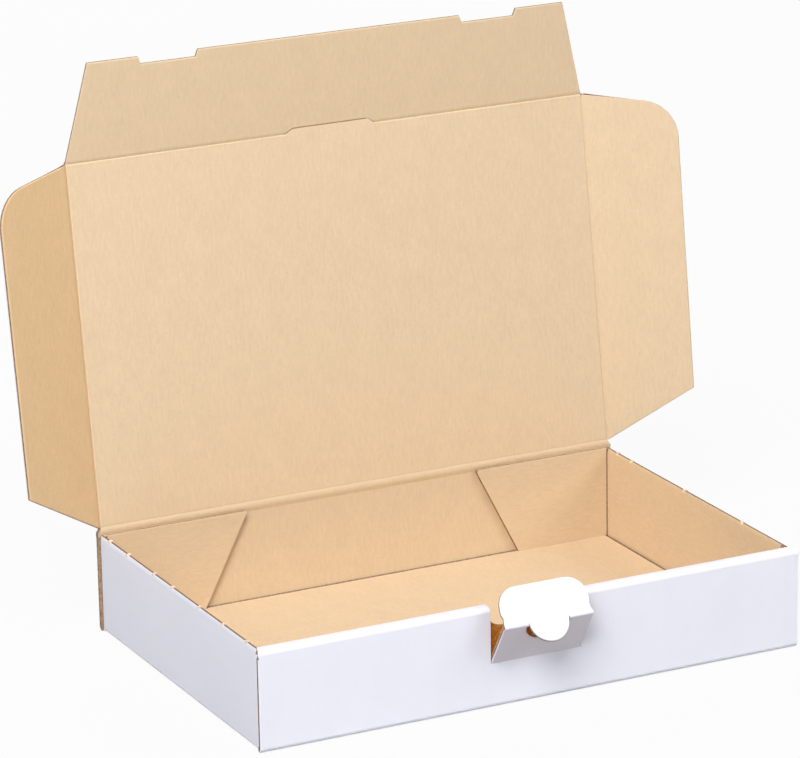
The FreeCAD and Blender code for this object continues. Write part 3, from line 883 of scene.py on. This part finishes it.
class MAILER_OT_lid(bpy.types.Operator):
    """Fold the lid panel, its ears and its tuck flap"""

    bl_idname = "mailer.lid"
    bl_label = "Lid"

    def execute(self, context):
        self.fold_panel()
        for side, word in ((1, "right"), (-1, "left")):
            self.fold_ear(side, word)
        self.fold_tuck()
        return {"FINISHED"}

    def fold_panel(self):
        """Lid panel with the lip of the lock slot on its far edge."""
        half = [(CREASE_HALF, 2.2), (CREASE_HALF, LID_LENGTH), (LIP_BEND, LID_LENGTH),
                (21.8, LID_LENGTH + 2.8)]
        outline = half + [(-x, y) for x, y in reversed(half)]
        panel = flat_board("lid_panel", outline)
        for side in (-1, 1):
            score(panel, "X", [(side * (CREASE_HALF - inset), lift) for inset, lift in BEAD])
        score(panel, "X", [(-26.0, 0), (26.0, 0)])
        score(panel, "Y", [(LID_LENGTH - inset, lift) for inset, lift in BEAD], clear=26.2)
        hollow_edges(panel, HARD_PRESS, lambda middle, normal: middle.y > LID_LENGTH + CLOSE)
        grain(panel, (0, 1, 0))
        stand_lid(panel)
        finish_piece(panel, "lid")
        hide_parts("lid")

    def fold_ear(self, side, word):
        """Ear with a slanted foot and one round corner."""
        outline = [(0, 0.6), (EAR_WIDTH, 26.6)]
        outline += arc((EAR_WIDTH - 20, 167.5), 21.6, 0, 79, 8)
        outline += [(2, LID_LENGTH - 0.5), (0, LID_LENGTH - 1.0)]
        ear = flat_board(f"{word}_ear", [(side * x, y) for x, y in outline])
        score(ear, "X", [(side * inset, lift) for inset, lift in PRESS])
        hollow_edges(ear, HARD_PRESS, lambda middle, normal: abs(middle.x) > CLOSE)
        path = [(side * x, y, 0) for x, y in outline[:-1]]
        flutes(ear, HARD_PRESS, path, (0, 0, 1), (0, 1, 0), (side * 25, 100, 0))
        # The left ear's kraft faces get painted shade, darker and more orange than the lid
        if side < 0:
            change_paper(ear, KRAFT, EAR_SHADE)
        grain(ear, (0, 1, 0))
        place(ear, turned((side * CREASE_HALF * MM, 0, 0), -side * EAR_BEND, "Y"))
        stand_lid(ear)
        finish_piece(ear, "lid")

    def fold_tuck(self):
        """Tuck flap with two notches in its free edge and the lock slot at its crease."""
        half = [(CREASE_HALF, 0), (CREASE_HALF - TUCK_TAPER, TUCK_LENGTH)]
        half += [(x, TUCK_LENGTH - depth) for x, depth in TUCK_NOTCH]
        outline = half + [(-x, y) for x, y in reversed(half)]
        outline += reversed(LOCK_SLOT)
        tuck = flat_board("tuck_flap", outline)
        score(tuck, "Y", PRESS)
        hollow_edges(tuck, HARD_PRESS, lambda middle, normal: middle.y > CLOSE)
        for side in (-1, 1):
            path = [(side * CREASE_HALF, 0.3, 0),
                    (side * (CREASE_HALF - TUCK_TAPER), TUCK_LENGTH - 0.3, 0)]
            flutes(tuck, HARD_PRESS, path, (0, 0, 1), (0, 1, 0), (0, 20, 0))
        grain(tuck, (0, 1, 0))
        place(tuck, turned((0, LID_LENGTH * MM, 0), TUCK_BEND, "X"))
        stand_lid(tuck)
        finish_piece(tuck, "lid")


def bar(name, start, end, section):
    """Crease between two points, in millimetres, with a section across its run and up."""
    run = Vector(end) - Vector(start)
    across = Vector((0, 0, 1)).cross(run).normalized()
    ring = [Vector(start) + across * x + Vector((0, 0, z)) for x, z in section]
    return slab(name, [tuple(p) for p in ring], tuple(run))


class MAILER_OT_creases(bpy.types.Operator):
    """Add the creases between the panels of the lid"""

    bl_idname = "mailer.creases"
    bl_label = "Lid creases"

    def execute(self, context):
        self.add_flap_creases()
        self.add_lid_crease()
        return {"FINISHED"}

    def add_flap_creases(self):
        """Half round creases on the white side, between lid panel, ears and tuck flap."""
        section = arc((0, 0), board() / 2, 180, 360, 8) + [(0.9, 0.5), (-0.9, 0.5)]
        slot_half = LOCK_SLOT[0][0]
        runs = {
            "right_ear_crease": ((CREASE_HALF, 3, 0), (CREASE_HALF, LID_LENGTH, 0)),
            "left_ear_crease": ((-CREASE_HALF, 3, 0), (-CREASE_HALF, LID_LENGTH, 0)),
            "tuck_crease_right": ((slot_half, LID_LENGTH, 0), (CREASE_HALF, LID_LENGTH, 0)),
            "tuck_crease_left": ((-CREASE_HALF, LID_LENGTH, 0), (-slot_half, LID_LENGTH, 0)),
        }
        for name, (start, end) in runs.items():
            crease = bar(name, start, end, section)
            run = Vector(end) - Vector(start)
            paint(crease, WHITE, lambda middle, normal: normal.z < 0 and abs(normal.dot(run)) < 1)
            grain(crease, (0, 1, 0))
            stand_lid(crease)
            finish_piece(crease, "lid")

    def add_lid_crease(self):
        """Crease from the back wall's top to the heel, bent from the upright wall to the leaning
        lid.
        """
        lean = math.radians(LID_LEAN)
        upright = Vector((0, 0, 1))
        along = Vector((0, math.cos(lean), math.sin(lean)))
        forward = Vector((0, -1, 0))
        facing_lid = Vector((0, -along.z, along.y))
        # How far each point lies along the board from the hinge, and how far out on the kraft side
        kraft = [(-3.6, 1.35), (-1.9, 1.8), (-1.2, 1.9), (-0.4, 1.85), (0.4, 1.7), (1.0, 1.5),
                 (1.5, 1.25), (1.9, 1.25), (2.3, 1.35)]
        white = [(2.3, -1.35), (1.2, -1.3), (0.3, -1.2), (-0.6, -1.25), (-3.6, -1.35)]
        points = []
        for rise, out in kraft + white:
            share = min(max((rise + 0.9) / 1.8, 0), 1)
            lead = upright if rise < 0 else along
            facing = forward.lerp(facing_lid, share).normalized()
            points.append(HINGE + lead * rise + facing * out + Vector((-HALF_WIDTH, 0, 0)))
        crease = slab("lid_crease", [tuple(p) for p in points], (2 * HALF_WIDTH, 0, 0))
        for side in (-1, 1):
            heel = [(side * 153.3, 90, 59.0), (side * 153.3, 90, 57.2), (side * 155.1, 90, 54.6),
                    (side * 158, 90, 54.6), (side * 158, 90, 59.0)]
            cut(crease, slab("cutter", heel, (0, 20, 0)))
        paint(crease, KRAFT, lambda middle, normal: abs(normal.x) < 0.5 and middle.y < HINGE.y
              and abs(normal.z) < 0.9)
        paint(crease, WHITE, lambda middle, normal: abs(normal.x) < 0.5 and middle.y > HINGE.y
              and abs(normal.z) < 0.9)
        grain(crease, (0, 0, 1))
        wake(crease)
        bpy.ops.object.shade_smooth_by_angle(angle=math.radians(50))
        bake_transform(crease)


class MAILER_OT_lock_tab(bpy.types.Operator):
    """Fold the lock tab with its tongue and thumb nose"""

    bl_idname = "mailer.lock_tab"
    bl_label = "Lock tab"

    def execute(self, context):
        stand = turned(TAB_FOOT * MM, 90 + TAB_LEAN, "X")
        bend = turned((0, TAB_HEIGHT * MM, 0), -TONGUE_BEND, "X")
        flip = Matrix.Rotation(math.pi, 4, "Y")
        panel = self.cut_panel()
        tongue = self.cut_tongue()
        for piece, move in ((panel, stand @ flip), (tongue, stand @ bend @ flip)):
            grain(piece, (0, 1, 0))
            place(piece, move)
            finish_piece(piece, "lock_tab")
        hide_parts("lock_tab")
        inner = NOSE + 0.3
        outer = TAB_HALF - 0.3
        runs = (
            ("tab_foot_crease_0", 0, -TAB_HALF, TAB_HALF),
            ("tab_upper_crease_0", TAB_HEIGHT, -outer, -inner),
            ("tab_upper_crease_1", TAB_HEIGHT, inner, outer),
        )
        section = arc((0, 0), board() / 2, 0, 337.5, 15)
        for name, height, x0, x1 in runs:
            crease = bar(name, (x0, height, 0), (x1, height, 0), section)
            paint(crease, WHITE, lambda middle, normal: normal.z > 0 and abs(normal.x) < 0.5)
            paint(crease, KRAFT, lambda middle, normal: normal.z <= 0 and abs(normal.x) < 0.5)
            grain(crease, (0, 1, 0))
            place(crease, stand)
            finish_piece(crease, "lock_tab")
        return {"FINISHED"}

    def cut_panel(self):
        """Lower panel with the window that the thumb nose is cut from."""
        window = arc((0, TAB_HEIGHT), WINDOW, 0, -180, 16)
        outline = [(-TAB_HALF, 0), (TAB_HALF, 0), (TAB_HALF, TAB_HEIGHT)] + window
        outline += [(-TAB_HALF, TAB_HEIGHT)]
        panel = flat_board("tab_panel", outline)
        hollow_edges(panel, TAB_PRESS, lambda middle, normal: (
            CLOSE < middle.y < TAB_HEIGHT - CLOSE))
        for side in (-1, 1):
            path = [(side * TAB_HALF, 0.3, 0), (side * TAB_HALF, TAB_HEIGHT - 0.3, 0)]
            flutes(panel, TAB_PRESS, path, (0, 0, 1), (0, 1, 0), (0, 10, 0))
        # The panel's white faces get painted shade, greyer than the walls
        change_paper(panel, WHITE, TAB_SHADE)
        return panel

    def cut_tongue(self):
        """Tongue above the upper crease and thumb nose below it, in one plane."""
        half = [(25.2, 0), (24.5, 4.8), (25.2, 6.5)] + arc((14.2, 9.2), 11, 0, 90)
        outline = half + [(-x, y) for x, y in reversed(half)]
        outline += arc((0, 0), NOSE, 180, 360, 16)
        tongue = flat_board("tab_tongue", outline)
        hollow_edges(tongue, HARD_PRESS, lambda middle, normal: (
            middle.y > CLOSE or abs(middle.x) < 11.5))
        for side in (-1, 1):
            path = [(side * x, y, 0) for x, y in half]
            flutes(tongue, HARD_PRESS, path, (0, 0, 1), (0, 1, 0), (0, 10, 0))
        return tongue


def heading(azimuth, elevation):
    """Way out from the box in degrees, 0 being the front and the horizon."""
    azimuth = math.radians(azimuth)
    elevation = math.radians(elevation)
    return Vector((math.sin(azimuth) * math.cos(elevation),
                   -math.cos(azimuth) * math.cos(elevation), math.sin(elevation)))


def soft_lamp(name, azimuth, elevation, power):
    """Round soft lamp that shines on the box from a direction."""
    way = heading(azimuth, elevation)
    lamp = bpy.data.lights.new(name, "AREA")
    lamp.shape = "DISK"
    lamp.size = LAMP_SIZE
    lamp.energy = power
    thing = bpy.data.objects.new(name, lamp)
    bpy.context.scene.collection.objects.link(thing)
    thing.location = way * LAMP_DISTANCE + LAMP_AIM
    thing.rotation_euler = way.to_track_quat("Z", "Y").to_euler()


class MAILER_OT_stage(bpy.types.Operator):
    """Set the pale floor, the soft studio light and the camera"""

    bl_idname = "mailer.stage"
    bl_label = "Stage"

    def execute(self, context):
        self.lay_floor(context.scene.mailer_colours.floor)
        self.light_world(context.scene)
        for name, azimuth, elevation, power in LAMPS:
            soft_lamp(name, azimuth, elevation, power)
        self.set_camera(context.scene)
        context.scene.view_settings.view_transform = "Standard"
        return {"FINISHED"}

    def lay_floor(self, colour):
        """Floor that the camera sees nearly white, with the box's soft shadow on it."""
        bpy.ops.object.select_all(action="DESELECT")
        bpy.ops.mesh.primitive_circle_add(
            vertices=96, radius=FLOOR_RADIUS, fill_type="NGON", location=(0, 0, -FLOOR_DROP))
        floor = bpy.context.object
        floor.name = "studio_floor"
        bpy.ops.object.transform_apply(location=True, rotation=False, scale=False)
        finish = Finish("studio_floor")
        finish.set("Base Color", (*colour, 1))
        finish.set("Roughness", 0.9)
        finish.set("Specular IOR Level", 0.0)
        seen = finish.node("ShaderNodeLightPath", {}, {})
        white = finish.node("ShaderNodeEmission", {}, {"Color": (1, 1, 1, 1), "Strength": 1.0})
        plain = Number(finish, finish.shader.outputs[0])
        both = finish.node("ShaderNodeMixShader", {}, {0: seen * FLOOR_WHITE, 1: plain, 2: white})
        finish.feed(finish.tree.nodes["Material Output"].inputs["Surface"], both)
        floor.data.materials.append(finish.material)

    def light_world(self, scene):
        """White world that the camera sees, and that hardly lights the box."""
        world = bpy.data.worlds.new("studio")
        world.use_nodes = True
        scene.world = world
        tree = world.node_tree
        light = tree.nodes["Background"]
        light.inputs["Color"].default_value = (1, 1, 1, 1)
        light.inputs["Strength"].default_value = WORLD_LIGHT
        shown = tree.nodes.new("ShaderNodeBackground")
        shown.inputs["Strength"].default_value = 1.0
        path = tree.nodes.new("ShaderNodeLightPath")
        choice = tree.nodes.new("ShaderNodeMixShader")
        tree.links.new(path.outputs["Is Camera Ray"], choice.inputs[0])
        tree.links.new(light.outputs[0], choice.inputs[1])
        tree.links.new(shown.outputs[0], choice.inputs[2])
        tree.links.new(choice.outputs[0], tree.nodes["World Output"].inputs["Surface"])

    def set_camera(self, scene):
        """Camera where the photographer stood, a little rolled."""
        azimuth, elevation, roll = CAMERA_TURN
        back = heading(azimuth, elevation)
        azimuth = math.radians(azimuth)
        roll = math.radians(roll)
        right = Vector((math.cos(azimuth), math.sin(azimuth), 0))
        up = back.cross(right)
        across = right * math.cos(roll) + up * math.sin(roll)
        upward = up * math.cos(roll) - right * math.sin(roll)
        turn = Matrix((across, upward, back)).transposed().to_4x4()
        lens = bpy.data.cameras.new("camera")
        lens.lens = CAMERA_LENS
        lens.sensor_width = 36
        lens.clip_start = 0.05
        lens.clip_end = 50
        camera = bpy.data.objects.new("camera", lens)
        scene.collection.objects.link(camera)
        camera.matrix_world = Matrix.Translation(CAMERA_AIM * MM + back * CAMERA_DISTANCE) @ turn
        scene.camera = camera


class MAILER_PT_panel(bpy.types.Panel):
    """Lists the steps that fold the box"""

    bl_idname = "MAILER_PT_panel"
    bl_label = "Mailer box"
    bl_space_type = "VIEW_3D"
    bl_region_type = "UI"
    bl_category = "Mailer box"

    def draw(self, context):
        for group in (context.scene.mailer_sizes, context.scene.mailer_colours):
            for name in group.__annotations__:
                self.layout.prop(group, name)
        for step in STEPS:
            self.layout.operator(step.bl_idname)


STEPS = (
    MAILER_OT_papers,
    MAILER_OT_long_walls,
    MAILER_OT_side_walls,
    MAILER_OT_lid,
    MAILER_OT_creases,
    MAILER_OT_lock_tab,
    MAILER_OT_stage,
)
CLASSES = (MailerSizes, MailerColours, *STEPS, MAILER_PT_panel)


def register():
    for item in CLASSES:
        bpy.utils.register_class(item)
    bpy.types.Scene.mailer_sizes = PointerProperty(type=MailerSizes)
    bpy.types.Scene.mailer_colours = PointerProperty(type=MailerColours)


def unregister():
    del bpy.types.Scene.mailer_colours
    del bpy.types.Scene.mailer_sizes
    for item in reversed(CLASSES):
        bpy.utils.unregister_class(item)


def main():
    register()
    bpy.ops.object.select_all(action="DESELECT")
    bpy.ops.mailer.papers()
    bpy.ops.mailer.long_walls()
    bpy.ops.mailer.side_walls()
    bpy.ops.mailer.lid()
    bpy.ops.mailer.creases()
    bpy.ops.mailer.lock_tab()
    bpy.ops.mailer.stage()


if __name__ == "__main__":
    main()
